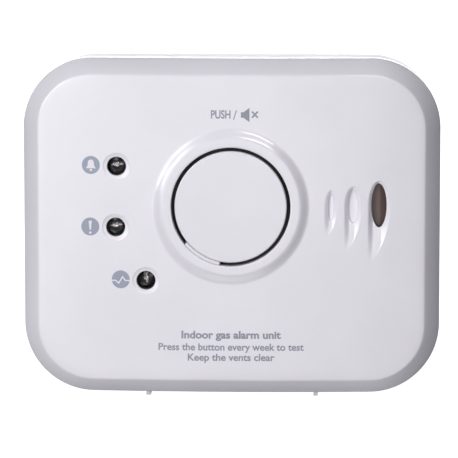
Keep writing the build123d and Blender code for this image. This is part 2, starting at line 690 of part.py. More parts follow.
NODES = {
    "front_cover": front_cover(),
    "rear_case": rear_case(),
    "case_screws": case_screws(),
    "battery_door": battery_door(),
    "test_button": test_button(),
    "button_hinge_frame": button_hinge_frame(),
    "button_dust_ring": button_dust_ring(),
    "sounder_housing": sounder_housing(),
    "sounder_gasket": sounder_gasket(),
    "piezo_plate": piezo_plate(),
    "piezo_ceramic": piezo_ceramic(),
    "piezo_contact_springs": piezo_contact_springs(),
    "main_pcb": main_pcb(),
    "led_leadframes": led_leadframes(),
    "led_sleeves": led_sleeves(),
    "tact_switch_body": tact_switch_body(),
    "tact_switch_cover": tact_switch_cover(),
    "tact_switch_plunger": tact_switch_plunger(),
    "microcontroller": microcontroller(),
    "electrolytic_capacitors": electrolytic_capacitors(),
    "inductor": inductor(),
    "chip_resistors": chips(RESISTORS, (1.2, 2.0, 0.5)),
    "chip_capacitors": chips(CAPACITORS, (1.6, 2.2, 1.0)),
    "co_sensor_body": co_sensor_body(),
    "co_sensor_cap": co_sensor_cap(),
    "co_sensor_pins": co_sensor_pins(),
    "sensor_gasket": sensor_gasket(),
    "battery_cell_upper": cell(CELL_Z["battery_cell_upper"], -1),
    "battery_cell_lower": cell(CELL_Z["battery_cell_lower"], 1),
    "battery_spring_contacts": battery_spring_contacts(),
    "battery_plate_contacts": battery_plate_contacts(),
    "contact_link": contact_link(),
    "wall_bracket": wall_bracket(),
    "rating_label": rating_label(),
}
for lamp, (lamp_x, lamp_z) in LED_PLACES.items():
    NODES[lamp] = led_body(lamp_x, lamp_z)

os.makedirs("parts", exist_ok=True)
for name, shape in NODES.items():
    export_step(shape, f"parts/{name}.step")
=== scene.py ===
import math

import bmesh
import bpy
import numpy as np
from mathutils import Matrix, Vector
from mathutils.geometry import delaunay_2d_cdt


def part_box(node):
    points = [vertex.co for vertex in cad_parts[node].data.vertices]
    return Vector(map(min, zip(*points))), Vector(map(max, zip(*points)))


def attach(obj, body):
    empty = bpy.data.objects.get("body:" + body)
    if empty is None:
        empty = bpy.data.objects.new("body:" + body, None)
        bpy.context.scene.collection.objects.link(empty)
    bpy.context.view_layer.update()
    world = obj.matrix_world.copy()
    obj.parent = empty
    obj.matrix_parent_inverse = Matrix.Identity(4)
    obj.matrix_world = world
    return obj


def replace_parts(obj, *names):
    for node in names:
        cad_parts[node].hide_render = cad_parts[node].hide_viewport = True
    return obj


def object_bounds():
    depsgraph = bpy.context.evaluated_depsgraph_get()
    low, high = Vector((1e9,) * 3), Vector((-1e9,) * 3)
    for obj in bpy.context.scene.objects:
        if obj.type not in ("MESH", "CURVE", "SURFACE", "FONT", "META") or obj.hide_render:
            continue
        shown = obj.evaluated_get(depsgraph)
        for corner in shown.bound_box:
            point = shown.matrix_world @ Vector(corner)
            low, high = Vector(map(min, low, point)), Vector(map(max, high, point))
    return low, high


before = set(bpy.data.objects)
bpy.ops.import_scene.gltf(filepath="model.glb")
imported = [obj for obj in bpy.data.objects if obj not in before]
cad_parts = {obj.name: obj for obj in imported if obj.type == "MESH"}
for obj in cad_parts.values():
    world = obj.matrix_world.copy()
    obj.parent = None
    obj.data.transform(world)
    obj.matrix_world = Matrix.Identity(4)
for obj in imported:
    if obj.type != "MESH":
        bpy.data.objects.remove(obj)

# The looks of a carbon monoxide alarm. Lengths below are in millimetres, in the model's own
# frame: x to the viewer's right, z up, and depth out of the wall towards the viewer (-Y).

MM = 0.001
CAD_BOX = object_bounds()


def middle(node):
    """The x, z and depth of the middle of a CAD node's box, in mm."""
    low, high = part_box(node)
    centre = (low + high) / 2 / MM
    return centre.x, centre.z, -centre.y


def front_depth(node):
    """How far a CAD node reaches out from the wall, in mm."""
    return -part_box(node)[0].y / MM


# ---- dimensions ----------------------------------------------------------------------------
COVER_LOW, COVER_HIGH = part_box("front_cover")
HALF_W = (COVER_HIGH.x - COVER_LOW.x) / 2 / MM
HALF_H = (COVER_HIGH.z - COVER_LOW.z) / 2 / MM
POST_REACH = 2.2  # how far the screw posts reach behind the seam
SEAM_D = -COVER_HIGH.y / MM + POST_REACH
SEAM_ROUND = 0.25
SEAM_LIP = 1.6  # width of the wall's edge at the seam
COLLAR_D = -COVER_LOW.y / MM
COLLAR_RISE = 1.2
FACE_D = COLLAR_D - COLLAR_RISE
CORNER_R = 20.0
BOW_R = 470.0
WALL = 2.0
DRAFT = math.tan(math.radians(2.3))
FLANK_IN = 4.45  # the flank between the face's crease and the side walls
FLANK_DROP = 5.4
FLANK_SLOPES = (math.radians(46), math.radians(55))  # at its crease and at its outer edge
FLANK_EDGE_R = 0.3
CREASE = 0.35
CREASE_R = CORNER_R - FLANK_IN - CREASE  # corner radius of the face inside its crease

BUTTON_X, BUTTON_Z, _ = middle("sounder_housing")
HOLE_R = 17.1
HOLE_LIP = 0.3
GUIDE_D = (31.0, 28.6)  # where the tube behind the button's hole starts and ends
GUIDE_WALL = 1.8
COLLAR_TOP_R = 19.5
COLLAR_BASE_R = 22.6

HINGE_DEG = 239.2  # direction of the button's hinge from its centre
BRIDGE_HALF_DEG = 19.4
BRIDGE_LIPS = ((16.12, 16.28), (16.92, 17.07))  # radii of the ledges inside and outside the hinge strip
BRIDGE_LIP_DROP = (0.9, 0.4)  # how far below the collar's top the ledges start and end

LAMPS = {name: middle(name)[:2] for name in ("led_alarm", "led_fault", "led_power")}
LAMP_R = 2.5
LAMP_HOLE_R = 2.75
LAMP_HOLE_EDGE = 0.06  # rounding of the hole's edge
DIMPLE_R = 3.95
DIMPLE = 0.34
DIMPLE_STEP = 0.45  # width of the step at the dimple's edge
DIMPLE_FLAT = 0.4  # width of the ring before the dimple's dish

SENSOR_X, SENSOR_Z, _ = middle("sensor_gasket")
# vents: centre x and z, half width and half height of the oval, distances of the scoop's left and
# right edges from the centre, how far its tail ends below it, and the depths of scoop and pocket
VENTS = [
    (SENSOR_X - 13.7, SENSOR_Z - 0.4, 0.88, 4.2, 1.95, 1.75, 8.9, 0.75, 0.5),
    (SENSOR_X - 7.35, SENSOR_Z - 0.25, 1.53, 5.1, 2.65, 2.4, 12.8, 1.0, 0.55),
    (SENSOR_X, SENSOR_Z, 2.2, 6.38, 3.25, 3.3, 16.2, 1.3, 0.0),
]
SCOOP_OVER = 0.8  # how far a scoop reaches above its oval
SCOOP_WALL = 1.65  # width of its soft left wall
SCOOP_TAIL = 0.75  # share of its width that its tail loses
SCOOP_SLOPE = 0.62  # steepness of its right wall
POCKET_EDGE = 0.16

# spacing of the face's points
COLLAR_PITCH = 0.26
DIMPLE_PITCH = 0.13
SCOOP_PITCH = (0.14, 0.2)
COARSE_PITCH = 1.6
COARSE_MARGIN = 0.8  # kept free of coarse points beside the crease and the collar
RING_COUNT = 288
LAMP_COUNT = 72
VENT_COUNT = 96


# ---- the front cover's surface -----------------------------------------------------------------
def smoothstep(t):
    t = np.clip(t, 0.0, 1.0)
    return t * t * (3 - 2 * t)


def bow_depth(x):
    """Depth of the bowed face."""
    return FACE_D - BOW_R + np.sqrt(BOW_R**2 - np.square(x))


def oval_radius(vent, x, z):
    """1 on the oval at the bottom of a vent's scoop, less inside it."""
    cx, cz, half_w, half_h = vent[:4]
    return np.hypot((x - cx) / half_w, (z - cz) / half_h)


def scoop_edges(vent, z):
    """The left and right edges of a scoop at each height, and how far down its tail that is, 0 to 1."""
    cx, cz, half_w, half_h, to_left, to_right, reach = vent[:7]
    up = np.clip((z - cz) / (half_h + SCOOP_OVER), 0, 1)
    arch = np.sqrt(np.clip(1 - up**2, 0, 1))
    down = np.clip((cz - z) / reach, 0, 1)
    left = cx - to_left * arch
    right = cx + to_right * arch
    right = np.where(z < cz, cx - to_left + (to_left + to_right) * (1 - SCOOP_TAIL * down**2), right)
    return left, right, down


def scoop_depth(vent, x, z):
    """How deep a vent's recess is below the face."""
    cx, cz, half_w, half_h = vent[:4]
    depth, pocket = vent[7:]
    left, right, down = scoop_edges(vent, z)
    fade = np.clip((down - 0.3) / 0.7, 0, 1)
    across = np.clip((x - left) / (right - left), 0, 1)
    floor = depth * (1 - fade) ** 1.25 * (1 - across * smoothstep((down - 0.5) / 0.4))
    u = np.clip((x - left) / SCOOP_WALL, 0, 1)
    from_left = floor * smoothstep(u)
    over = np.clip((cz + half_h + SCOOP_OVER - z) / 1.2, 0, 1)
    from_top = floor * (1 - (1 - over) ** 2)
    from_right = (right - x) * SCOOP_SLOPE
    recess = np.clip(np.minimum(np.minimum(from_left, from_right), from_top), 0, None)
    edge = np.clip((1.0 - oval_radius(vent, x, z)) * vent[2] / POCKET_EDGE, 0, 1)
    return recess + pocket * edge


def surface_depth(x, z):
    """Depth of the front cover's outer surface, inside its crease."""
    face = bow_depth(x)
    r = np.hypot(x - BUTTON_X, z - BUTTON_Z)
    rise = smoothstep((COLLAR_BASE_R - r) / (COLLAR_BASE_R - COLLAR_TOP_R))
    out = face + (COLLAR_D - face) * rise
    for cx, cz in LAMPS.values():
        d = np.hypot(x - cx, z - cz)
        step = smoothstep((DIMPLE_R - d) / DIMPLE_STEP)
        dish = np.clip((DIMPLE_R - DIMPLE_FLAT - d) / (DIMPLE_R - DIMPLE_FLAT - LAMP_HOLE_R), 0, 1)
        out = out - DIMPLE * (0.6 * step + 0.4 * dish**2)
    for vent in VENTS:
        out = out - scoop_depth(vent, x, z)
    return out


def inner_depth(x, z):
    """Depth of the cover's inner surface behind the same place."""
    return np.minimum(bow_depth(x) - WALL, surface_depth(x, z) - 0.9)


# ---- outlines ---------------------------------------------------------------------------------
def perimeter():
    """The case's outline as corner-centre points and outward directions, once round, anticlockwise."""
    cx, cz = HALF_W - CORNER_R, HALF_H - CORNER_R
    rows = []
    corners = [(cx, cz, 0), (-cx, cz, 90), (-cx, -cz, 180), (cx, -cz, 270)]
    for i, (x, z, start) in enumerate(corners):
        for k in range(41):
            a = math.radians(start + 90 * k / 40)
            rows.append((x, z, math.cos(a), math.sin(a)))
        nx, nz, _ = corners[(i + 1) % 4]
        a = math.radians(start + 90)
        steps = int(max(abs(nx - x), abs(nz - z)) / 2)
        for k in range(1, steps):
            t = k / steps
            rows.append((x + (nx - x) * t, z + (nz - z) * t, math.cos(a), math.sin(a)))
    return np.array(rows)


OUTLINE = perimeter()


def outline_at(offset):
    """The outline moved outward by an offset."""
    return OUTLINE[:, :2] + (CORNER_R + offset) * OUTLINE[:, 2:]


def from_core(points):
    """Distance of points from the rectangle through the outline's corner centres, negative inside it."""
    gap = np.abs(points) - np.array([HALF_W - CORNER_R, HALF_H - CORNER_R])
    return np.hypot(*np.clip(gap, 0, None).T) + np.minimum(gap.max(1), 0)


def circle(cx, cz, radius, count):
    a = np.linspace(0, 2 * math.pi, count, endpoint=False)
    return np.stack([cx + radius * np.cos(a), cz + radius * np.sin(a)], axis=1)


def oval(vent, scale, count):
    cx, cz, half_w, half_h = vent[:4]
    a = np.linspace(0, 2 * math.pi, count, endpoint=False)
    return np.stack([cx + scale * half_w * np.cos(a), cz + scale * half_h * np.sin(a)], axis=1)


# ---- mesh helpers ---------------------------------------------------------------------------------
def to_frame(points):
    """x, z, depth in mm to the frame's metres."""
    p = np.asarray(points, float)
    return np.stack([p[:, 0], -p[:, 2], p[:, 1]], axis=1) * MM


def make_piece(name, points, faces, material, body, sharp_deg=30.0, slot=None):
    """A new object from points in x, z, depth, with outward normals and crisp edges kept crisp."""
    mesh = bpy.data.meshes.new(name)
    mesh.from_pydata(to_frame(points).tolist(), [], [list(f) for f in faces])
    mesh.validate()
    mesh.materials.append(material)
    obj = bpy.data.objects.new(name, mesh)
    bpy.context.scene.collection.objects.link(obj)
    orient(mesh)
    mesh.shade_smooth()
    mesh.set_sharp_from_angle(angle=math.radians(sharp_deg))
    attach(obj, body)
    return obj


def orient(mesh):
    """Turns every face outwards."""
    work = bmesh.new()
    work.from_mesh(mesh)
    bmesh.ops.recalc_face_normals(work, faces=work.faces)
    work.to_mesh(mesh)
    work.free()


class Skin:
    """Points and faces that grow ring by ring."""

    def __init__(self):
        self.points = []
        self.faces = []

    def ring(self, xz, depth):
        """Adds a closed ring of points and gives their numbers."""
        depth = np.broadcast_to(depth, (len(xz),))
        first = len(self.points)
        self.points.extend((x, z, d) for (x, z), d in zip(xz, depth))
        return list(range(first, len(self.points)))

    def join(self, a, b):
        """Joins two rings with quads."""
        for i in range(len(a)):
            k = (i + 1) % len(a)
            self.faces.append((a[i], a[k], b[k], b[i]))

    def chain(self, rings):
        for a, b in zip(rings, rings[1:]):
            self.join(a, b)


def bezier(p0, p1, p2, count):
    """Points of a quadratic curve, without its first."""
    t = np.linspace(0, 1, count + 1)[1:, None]
    p0, p1, p2 = (np.asarray(p, float) for p in (p0, p1, p2))
    return (1 - t) ** 2 * p0 + 2 * t * (1 - t) * p1 + t**2 * p2


def flank_profile(inset, drop):
    """From the face's crease to the side wall: offset from the outline, and depth below the face."""
    start = -FLANK_IN
    inner, outer = (math.tan(slope) for slope in FLANK_SLOPES)
    crease = bezier((start - CREASE, 0), (start, 0), (start + CREASE, -CREASE * inner), 4)
    edge = (inset - FLANK_EDGE_R, -drop + FLANK_EDGE_R * outer)
    knee_x = (edge[1] + outer * edge[0] - crease[-1][1] - inner * crease[-1][0]) / (outer - inner)
    knee = (knee_x, crease[-1][1] - inner * (knee_x - crease[-1][0]))
    flank = bezier(crease[-1], knee, edge, 8)
    corner = bezier(edge, (inset, -drop), (inset, -drop - FLANK_EDGE_R), 4)
    return np.concatenate([crease, flank, corner])


# ---- front cover ----------------------------------------------------------------------------------
def scoop_points(vent):
    """A fine grid over one scoop, and its outline as an edge loop."""
    cx, cz, half_w, half_h, to_left, to_right, reach = vent[:7]
    bottom, top = cz - reach, cz + half_h + SCOOP_OVER
    xs = np.arange(cx - to_left - 0.45, cx + to_right + 0.5, SCOOP_PITCH[0])
    zs = np.arange(bottom - 0.4, top + 0.5, SCOOP_PITCH[1])
    grid = np.stack(np.meshgrid(xs, zs), axis=-1).reshape(-1, 2)
    heights = np.linspace(bottom + 0.05, top - 0.02, 70)
    low, high, _ = scoop_edges(vent, heights)
    loop = np.concatenate([np.stack([high, heights], 1), np.stack([low, heights], 1)[::-1]])
    return grid, loop


def near(points, others, distance):
    """Which points lie within a distance of any of the others."""
    hit = np.zeros(len(points), bool)
    for start in range(0, len(others), 400):
        gap = points[:, None, :] - others[None, start:start + 400, :]
        hit |= (np.square(gap).sum(-1) < distance**2).any(1)
    return hit


def cover_plan():
    """The flat layout of the face: loops that must stay edges, then free points."""
    loops = {"edge": outline_at(-FLANK_IN - CREASE)}
    loops["button"] = circle(BUTTON_X, BUTTON_Z, HOLE_R + HOLE_LIP, RING_COUNT)
    for name, (cx, cz) in LAMPS.items():
        loops[name] = circle(cx, cz, LAMP_HOLE_R + LAMP_HOLE_EDGE, LAMP_COUNT)
    for index, vent in enumerate(VENTS):
        loops[f"oval{index}"] = oval(vent, 1.0, VENT_COUNT)
        if vent[8]:
            loops[f"pad{index}"] = oval(vent, 1.0 - POCKET_EDGE / vent[2], VENT_COUNT)
    fixed = np.concatenate(list(loops.values()))
    free = []
    for r in np.arange(HOLE_R + HOLE_LIP + 0.3, COLLAR_BASE_R + 0.7, COLLAR_PITCH):
        free.append(circle(BUTTON_X, BUTTON_Z, r, RING_COUNT))
    for cx, cz in LAMPS.values():
        for r in np.arange(LAMP_HOLE_R + 0.2, DIMPLE_R + 0.4, DIMPLE_PITCH):
            free.append(circle(cx, cz, r, LAMP_COUNT))
    for index, vent in enumerate(VENTS):
        grid, loop = scoop_points(vent)
        keep = ~near(grid, np.concatenate([loop, fixed]), 0.09)
        free.append(grid[keep])
        loops[f"scoop{index}"] = loop
    fine = np.concatenate(free)
    xs = np.arange(-HALF_W, HALF_W, COARSE_PITCH)
    zs = np.arange(-HALF_H, HALF_H, COARSE_PITCH)
    coarse = np.stack(np.meshgrid(xs, zs), axis=-1).reshape(-1, 2)
    coarse = coarse[from_core(coarse) < CREASE_R - COARSE_MARGIN]
    from_button = np.hypot(coarse[:, 0] - BUTTON_X, coarse[:, 1] - BUTTON_Z)
    coarse = coarse[from_button > COLLAR_BASE_R + COARSE_MARGIN]
    coarse = coarse[~near(coarse, fine, 0.7)]
    return loops, np.concatenate([fine, coarse])


def inside_holes(points):
    """Which points lie in the button's, a lamp's or the open vent's hole."""
    x, z = points.T
    hole = np.hypot(x - BUTTON_X, z - BUTTON_Z) < HOLE_R + HOLE_LIP
    for cx, cz in LAMPS.values():
        hole |= np.hypot(x - cx, z - cz) < LAMP_HOLE_R + LAMP_HOLE_EDGE
    hole |= oval_radius(VENTS[2], x, z) < 1
    return hole


def front_cover(material):
    """The whole front shell as one closed mesh."""
    loops, free = cover_plan()
    flat, edges, start = [], [], {}
    for name, loop in loops.items():
        first = len(flat)
        start[name] = first
        flat.extend(loop.tolist())
        edges.extend((first + i, first + (i + 1) % len(loop)) for i in range(len(loop)))
    flat.extend(free.tolist())
    made = delaunay_2d_cdt([Vector(p) for p in flat], edges, [], 0, 1e-6, True)
    points = np.array([tuple(v) for v in made[0]])
    triangles = np.array([f for f in made[2] if len(f) == 3])
    where = {}
    for new, olds in enumerate(made[3]):
        for old in olds:
            where[old] = new
    centres = points[triangles].mean(1)
    keep = (from_core(centres) < CREASE_R) & ~inside_holes(centres)
    triangles = triangles[keep]

    count = len(points)
    skin = Skin()
    outer = surface_depth(points[:, 0], points[:, 1])
    inner = inner_depth(points[:, 0], points[:, 1])
    skin.points = [(x, z, d) for (x, z), d in zip(points, outer)]
    skin.points += [(x, z, d) for (x, z), d in zip(points, inner)]
    skin.faces = [tuple(t) for t in triangles]
    skin.faces += [(t[2] + count, t[1] + count, t[0] + count) for t in triangles]

    def loop_ids(name):
        first = start[name]
        ids = [where[first + i] for i in range(len(loops[name]))]
        return ids, [i + count for i in ids]

    cover_rim(skin, *loop_ids("edge"))
    button_wall(skin, *loop_ids("button"))
    for name, (cx, cz) in LAMPS.items():
        lamp_wall(skin, cx, cz, *loop_ids(name))
    top, bottom = loop_ids("oval2")
    skin.join(top, bottom)
    return used_only(skin, "cover_shell", material)


def used_only(skin, name, material):
    """The piece, without points that no face uses."""
    used = sorted({i for f in skin.faces for i in f})
    new = {old: i for i, old in enumerate(used)}
    points = [skin.points[i] for i in used]
    faces = [tuple(new[i] for i in f) for f in skin.faces]
    return make_piece(name, points, faces, material, "alarm", 28.0, "case_white")


def cover_rim(skin, outer, inner):
    """Crease, rounded flank and side walls down to the seam, outside and inside."""
    edge = outline_at(-FLANK_IN)
    face = bow_depth(edge[:, 0])
    rings = [outer]
    for offset, drop in flank_profile(0.0, FLANK_DROP):
        rings.append(skin.ring(outline_at(offset), face + drop))
    last = face - FLANK_DROP - FLANK_EDGE_R
    for t in (0.25, 0.5, 0.75, 0.93):
        depth = last + (SEAM_D + SEAM_ROUND - last) * t
        narrow = (last - depth)[:, None] * DRAFT
        rings.append(skin.ring(outline_at(0) - narrow * OUTLINE[:, 2:], depth))
    narrow = (last - SEAM_D)[:, None] * DRAFT
    for turn in (0.0, 0.5, 1.0):
        a = turn * math.pi / 2
        inward = narrow + SEAM_ROUND * (1 - math.cos(a))
        depth = SEAM_D + SEAM_ROUND * (1 - math.sin(a))
        rings.append(skin.ring(outline_at(0) - inward * OUTLINE[:, 2:], depth))
    wall = narrow + SEAM_LIP
    rings.append(skin.ring(outline_at(0) - wall * OUTLINE[:, 2:], SEAM_D))
    for offset, drop in flank_profile(-WALL, FLANK_DROP)[::-1]:
        shallow = face + drop - WALL * 0.8
        rings.append(skin.ring(outline_at(offset - 0.2), shallow))
    rings.append(inner)
    skin.chain(rings)


def button_wall(skin, outer, inner):
    """Rounded lip and wall of the button's hole, with the guide tube behind it."""
    rings = [outer]
    for turn in (30, 60, 90):
        a = math.radians(turn)
        radius = HOLE_R + HOLE_LIP * (1 - math.sin(a))
        depth = COLLAR_D - HOLE_LIP * (1 - math.cos(a))
        rings.append(skin.ring(circle(BUTTON_X, BUTTON_Z, radius, len(outer)), depth))
    for radius, depth in ((HOLE_R, GUIDE_D[0]), (HOLE_R, GUIDE_D[1]), (HOLE_R + GUIDE_WALL, GUIDE_D[1])):
        rings.append(skin.ring(circle(BUTTON_X, BUTTON_Z, radius, len(outer)), depth))
    skin.chain(rings + [inner])


def bridge_lips():
    """Thin ledges beside the button's hinge strip, so that its two gaps are shallow grooves."""
    turns = np.radians(np.linspace(HINGE_DEG - BRIDGE_HALF_DEG, HINGE_DEG + BRIDGE_HALF_DEG, 40))
    skin = Skin()
    for near_r, far_r in BRIDGE_LIPS:
        rows = []
        for turn in turns:
            spot = [(BUTTON_X + r * math.cos(turn), BUTTON_Z + r * math.sin(turn)) for r in (near_r, far_r)]
            low, high = (COLLAR_D - drop for drop in BRIDGE_LIP_DROP)
            rows.append([*skin.ring(spot, low), *skin.ring(spot[::-1], high)])
        skin.chain(rows)
        skin.faces += [tuple(rows[0]), tuple(rows[-1])]
    make_piece("bridge_lips", skin.points, skin.faces, MATERIALS["button"], "alarm", slot="case_white")


def lamp_wall(skin, cx, cz, outer, inner):
    """Edge and wall of one lamp's hole."""
    rings = [outer]
    depth = float(bow_depth(cx)) - DIMPLE
    for radius, drop in ((LAMP_HOLE_R + 0.01, 0.05), (LAMP_HOLE_R - 0.02, 0.14)):
        rings.append(skin.ring(circle(cx, cz, radius, len(outer)), depth - drop))
    skin.chain(rings + [inner])


# ---- materials ------------------------------------------------------------------------------------
def linear(*rgb):
    """A display colour, 0 to 255, as linear values."""
    return [((c / 255 + 0.055) / 1.055) ** 2.4 if c > 10 else c / 255 / 12.92 for c in rgb]


def nodes_of(name):
    material = bpy.data.materials.new(name)
    material.use_nodes = True
    tree = material.node_tree
    shader = tree.nodes["Principled BSDF"]
    place = tree.nodes.new("ShaderNodeTexCoord")
    return material, tree, shader, place.outputs["Object"]


def noise(tree, place, scale, detail=3.0, roughness=0.5):
    """A noise pattern; scale is in cycles per metre."""
    node = tree.nodes.new("ShaderNodeTexNoise")
    node.inputs["Scale"].default_value = scale
    node.inputs["Detail"].default_value = detail
    node.inputs["Roughness"].default_value = roughness
    tree.links.new(place, node.inputs["Vector"])
    return node.outputs["Fac"]


def spread(tree, value, low, high):
    """Maps a pattern's middle range to low and high."""
    node = tree.nodes.new("ShaderNodeMapRange")
    node.inputs["From Min"].default_value = 0.3
    node.inputs["From Max"].default_value = 0.7
    node.inputs["To Min"].default_value = low
    node.inputs["To Max"].default_value = high
    tree.links.new(value, node.inputs["Value"])
    return node.outputs["Result"]


def two_colours(tree, value, first, second, low=0.35, high=0.65):
    """A colour that moves between two with a pattern."""
    node = tree.nodes.new("ShaderNodeValToRGB")
    node.color_ramp.elements[0].position = low
    node.color_ramp.elements[1].position = high
    node.color_ramp.elements[0].color = (*first, 1)
    node.color_ramp.elements[1].color = (*second, 1)
    tree.links.new(value, node.inputs["Fac"])
    return node.outputs["Color"]


def colour_stops(tree, factor, stops, blend="LINEAR"):
    """A colour that changes along a factor, from stops of position and colour."""
    ramp = tree.nodes.new("ShaderNodeValToRGB")
    ramp.color_ramp.interpolation = blend
    elements = ramp.color_ramp.elements
    elements.remove(elements[1])
    elements[0].position = stops[0][0]
    elements[0].color = (*stops[0][1], 1)
    for position, colour in stops[1:]:
        elements.new(position).color = (*colour, 1)
    tree.links.new(factor, ramp.inputs["Fac"])
    return ramp.outputs["Color"]


def bump(tree, shader, value, strength, distance):
    node = tree.nodes.new("ShaderNodeBump")
    node.inputs["Strength"].default_value = strength
    node.inputs["Distance"].default_value = distance
    tree.links.new(value, node.inputs["Height"])
    tree.links.new(node.outputs["Normal"], shader.inputs["Normal"])


def shade(colour, factor):
    return [c * factor for c in colour]


def moulded(name, colour, rough=(0.22, 0.27), grain=2200.0, depth=0.00001, vary=0.015):
    """Moulded plastic: faint cloudy colour, uneven gloss and a very fine grain."""
    material, tree, shader, place = nodes_of(name)
    clouds = noise(tree, place, 45.0)
    colours = two_colours(tree, clouds, shade(colour, 1 - vary), shade(colour, 1 + vary))
    tree.links.new(colours, shader.inputs["Base Color"])
    gloss = spread(tree, noise(tree, place, 160.0, 4.0), *rough)
    tree.links.new(gloss, shader.inputs["Roughness"])
    bump(tree, shader, noise(tree, place, grain, 2.0), 0.25, depth)
    shader.inputs["IOR"].default_value = 1.52
    return material


def metal(name, colour, rough=(0.22, 0.38), lines=(900.0, 900.0, 60.0)):
    """Plated or brushed metal with fine streaks."""
    material, tree, shader, place = nodes_of(name)
    stretch = tree.nodes.new("ShaderNodeMapping")
    stretch.inputs["Scale"].default_value = [v / lines[0] for v in lines]
    tree.links.new(place, stretch.inputs["Vector"])
    streaks = noise(tree, stretch.outputs["Vector"], lines[0], 4.0)
    colours = two_colours(tree, streaks, shade(colour, 0.88), colour)
    tree.links.new(colours, shader.inputs["Base Color"])
    tree.links.new(spread(tree, streaks, *rough), shader.inputs["Roughness"])
    shader.inputs["Metallic"].default_value = 1.0
    bump(tree, shader, streaks, 0.2, 0.00001)
    return material


def board(name):
    """Circuit board: green mask over copper tracks and glass weave."""
    material, tree, shader, place = nodes_of(name)
    tracks = tree.nodes.new("ShaderNodeTexBrick")
    tracks.inputs["Scale"].default_value = 140.0
    tracks.inputs["Mortar Size"].default_value = 0.035
    tracks.inputs["Color1"].default_value = (0.010, 0.075, 0.028, 1)
    tracks.inputs["Color2"].default_value = (0.012, 0.085, 0.032, 1)
    tracks.inputs["Mortar"].default_value = (0.022, 0.14, 0.05, 1)
    turn = tree.nodes.new("ShaderNodeMapping")
    turn.inputs["Rotation"].default_value = (math.radians(90), 0, 0)
    tree.links.new(place, turn.inputs["Vector"])
    tree.links.new(turn.outputs["Vector"], tracks.inputs["Vector"])
    tree.links.new(tracks.outputs["Color"], shader.inputs["Base Color"])
    tree.links.new(spread(tree, noise(tree, place, 2500.0), 0.25, 0.4), shader.inputs["Roughness"])
    bump(tree, shader, tracks.outputs["Fac"], 0.3, 0.00003)
    return material


def sensor_brown(name):
    """Brown sensor can with painted light and shade: paler towards its left, where light falls, and a
    darker right half as painted shade, split along its length.
    """
    material, tree, shader, place = nodes_of(name)
    split = tree.nodes.new("ShaderNodeSeparateXYZ")
    tree.links.new(place, split.inputs["Vector"])
    across = tree.nodes.new("ShaderNodeMapRange")
    across.inputs["From Min"].default_value = (SENSOR_X - 2.2) * MM
    across.inputs["From Max"].default_value = (SENSOR_X + 2.2) * MM
    tree.links.new(split.outputs["X"], across.inputs["Value"])
    # painted light: the left end is brightened against the shade of the recess wall, and the right half is
    # darkened as painted shade
    stops = [(0.0, linear(182, 162, 156)), (0.3, linear(150, 131, 126)), (0.52, linear(124, 106, 102))]
    stops += [(0.64, linear(92, 70, 67)), (1.0, linear(98, 74, 71))]
    ramp = colour_stops(tree, across.outputs["Result"], stops)
    tree.links.new(ramp, shader.inputs["Base Color"])
    tree.links.new(spread(tree, noise(tree, place, 700.0), 0.4, 0.6), shader.inputs["Roughness"])
    bump(tree, shader, noise(tree, place, 1800.0), 0.3, 0.00003)
    return material


def cell_sleeve(name, node, tip_sign):
    """Battery sleeve with a copper-coloured band at its positive end."""
    material, tree, shader, place = nodes_of(name)
    low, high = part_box(node)
    split = tree.nodes.new("ShaderNodeSeparateXYZ")
    tree.links.new(place, split.inputs["Vector"])
    along = tree.nodes.new("ShaderNodeMapRange")
    ends = (low.x, high.x) if tip_sign > 0 else (high.x, low.x)
    along.inputs["From Min"].default_value = ends[0]
    along.inputs["From Max"].default_value = ends[1]
    tree.links.new(split.outputs["X"], along.inputs["Value"])
    stops = [(0.0, (0.55, 0.55, 0.56)), (0.012, (0.02, 0.022, 0.028))]
    stops += [(0.74, (0.62, 0.27, 0.09)), (0.965, (0.6, 0.6, 0.6))]
    bands = colour_stops(tree, along.outputs["Result"], stops, "CONSTANT")
    tree.links.new(bands, shader.inputs["Base Color"])
    tree.links.new(spread(tree, noise(tree, place, 300.0), 0.2, 0.3), shader.inputs["Roughness"])
    shader.inputs["Metallic"].default_value = 0.35
    return material


def clear_lens(name):
    """Clear epoxy: see-through with a slight haze, and a sharp gloss that grows towards its edge."""
    material, tree, shader, place = nodes_of(name)
    tree.nodes.remove(shader)
    glass = tree.nodes.new("ShaderNodeBsdfTransparent")
    gloss = tree.nodes.new("ShaderNodeBsdfGlossy")
    edge = tree.nodes.new("ShaderNodeFresnel")
    mix = tree.nodes.new("ShaderNodeMixShader")
    edge.inputs["IOR"].default_value = 1.6
    tint = two_colours(tree, noise(tree, place, 400.0), (0.93, 0.94, 0.96), (0.97, 0.97, 0.98))
    tree.links.new(tint, glass.inputs["Color"])
    gloss.inputs["Roughness"].default_value = 0.06
    tree.links.new(edge.outputs["Fac"], mix.inputs["Fac"])
    haze = tree.nodes.new("ShaderNodeBsdfDiffuse")
    haze.inputs["Color"].default_value = (0.8, 0.78, 0.8, 1)
    body = tree.nodes.new("ShaderNodeMixShader")
    body.inputs["Fac"].default_value = 0.03
    tree.links.new(glass.outputs["BSDF"], body.inputs[1])
    tree.links.new(haze.outputs["BSDF"], body.inputs[2])
    tree.links.new(body.outputs["Shader"], mix.inputs[1])
    tree.links.new(gloss.outputs["BSDF"], mix.inputs[2])
    tree.links.new(mix.outputs["Shader"], tree.nodes["Material Output"].inputs["Surface"])
    return material


